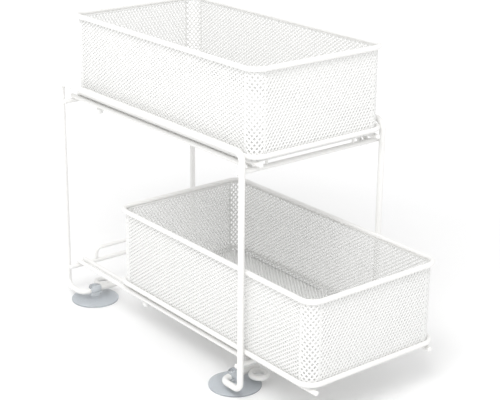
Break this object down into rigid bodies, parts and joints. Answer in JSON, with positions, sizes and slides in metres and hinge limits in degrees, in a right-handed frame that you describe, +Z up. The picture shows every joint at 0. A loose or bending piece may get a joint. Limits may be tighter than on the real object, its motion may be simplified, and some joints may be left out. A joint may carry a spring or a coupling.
{
  "type": "under sink organizer",
  "caption": "Freestanding wire frame on suction cups with two expanded-metal baskets that slide out forward on double wire rails.",
  "frame": {"origin": "on the floor under the middle of the four legs", "axes": "+X to the right seen from the front, +Z up, and the baskets pull out along -Y"},
  "size_m": [0.2, 0.4201, 0.3366],
  "materials": {
    "painted_wire": "satin",
    "expanded_metal": "satin",
    "glide_plastic": "gloss",
    "clear_plastic": "translucent soft vinyl"
  },
  "bodies": {
    "frame": {"side_frame_left": "painted_wire", "side_frame_right": "painted_wire", "upper_crossbar_front": "painted_wire", "upper_crossbar_rear": "painted_wire", "lower_crossbar_front": "painted_wire", "lower_crossbar_rear": "painted_wire", "upper_rail_left_outer": "painted_wire", "upper_rail_left_inner": "painted_wire", "upper_rail_right_outer": "painted_wire", "upper_rail_right_inner": "painted_wire", "lower_rail_left_outer": "painted_wire", "lower_rail_left_inner": "painted_wire", "lower_rail_right_outer": "painted_wire", "lower_rail_right_inner": "painted_wire", "upper_back_stop": "painted_wire", "lower_back_stop": "painted_wire", "suction_cup_front_left": "clear_plastic", "suction_cup_front_right": "clear_plastic", "suction_cup_rear_left": "clear_plastic", "suction_cup_rear_right": "clear_plastic", "screw_eye_front_left": "painted_wire", "screw_eye_front_right": "painted_wire", "screw_eye_rear_left": "painted_wire", "screw_eye_rear_right": "painted_wire"},
    "upper_basket": {"upper_rim": "painted_wire", "upper_base_wire": "painted_wire", "upper_mesh_floor": "expanded_metal", "upper_mesh_front": "expanded_metal", "upper_mesh_rear": "expanded_metal", "upper_mesh_left": "expanded_metal", "upper_mesh_right": "expanded_metal", "upper_mesh_corner_front_left": "expanded_metal", "upper_mesh_corner_front_right": "expanded_metal", "upper_mesh_corner_rear_left": "expanded_metal", "upper_mesh_corner_rear_right": "expanded_metal", "upper_runner_left": "painted_wire", "upper_runner_right": "painted_wire", "upper_glide_knob_left": "glide_plastic", "upper_glide_knob_right": "glide_plastic"},
    "lower_basket": {"lower_rim": "painted_wire", "lower_base_wire": "painted_wire", "lower_mesh_floor": "expanded_metal", "lower_mesh_front": "expanded_metal", "lower_mesh_rear": "expanded_metal", "lower_mesh_left": "expanded_metal", "lower_mesh_right": "expanded_metal", "lower_mesh_corner_front_left": "expanded_metal", "lower_mesh_corner_front_right": "expanded_metal", "lower_mesh_corner_rear_left": "expanded_metal", "lower_mesh_corner_rear_right": "expanded_metal", "lower_runner_left": "painted_wire", "lower_runner_right": "painted_wire", "lower_glide_knob_left": "glide_plastic", "lower_glide_knob_right": "glide_plastic"}
  },
  "joints": [
    {"name": "upper_basket_slide", "type": "slide", "parent": "frame", "child": "upper_basket", "axis": [0, -1, 0], "range_m": [-0.004, 0.25]},
    {"name": "lower_basket_slide", "type": "slide", "parent": "frame", "child": "lower_basket", "axis": [0, -1, 0], "range_m": [-0.088, 0.166]}
  ]
}
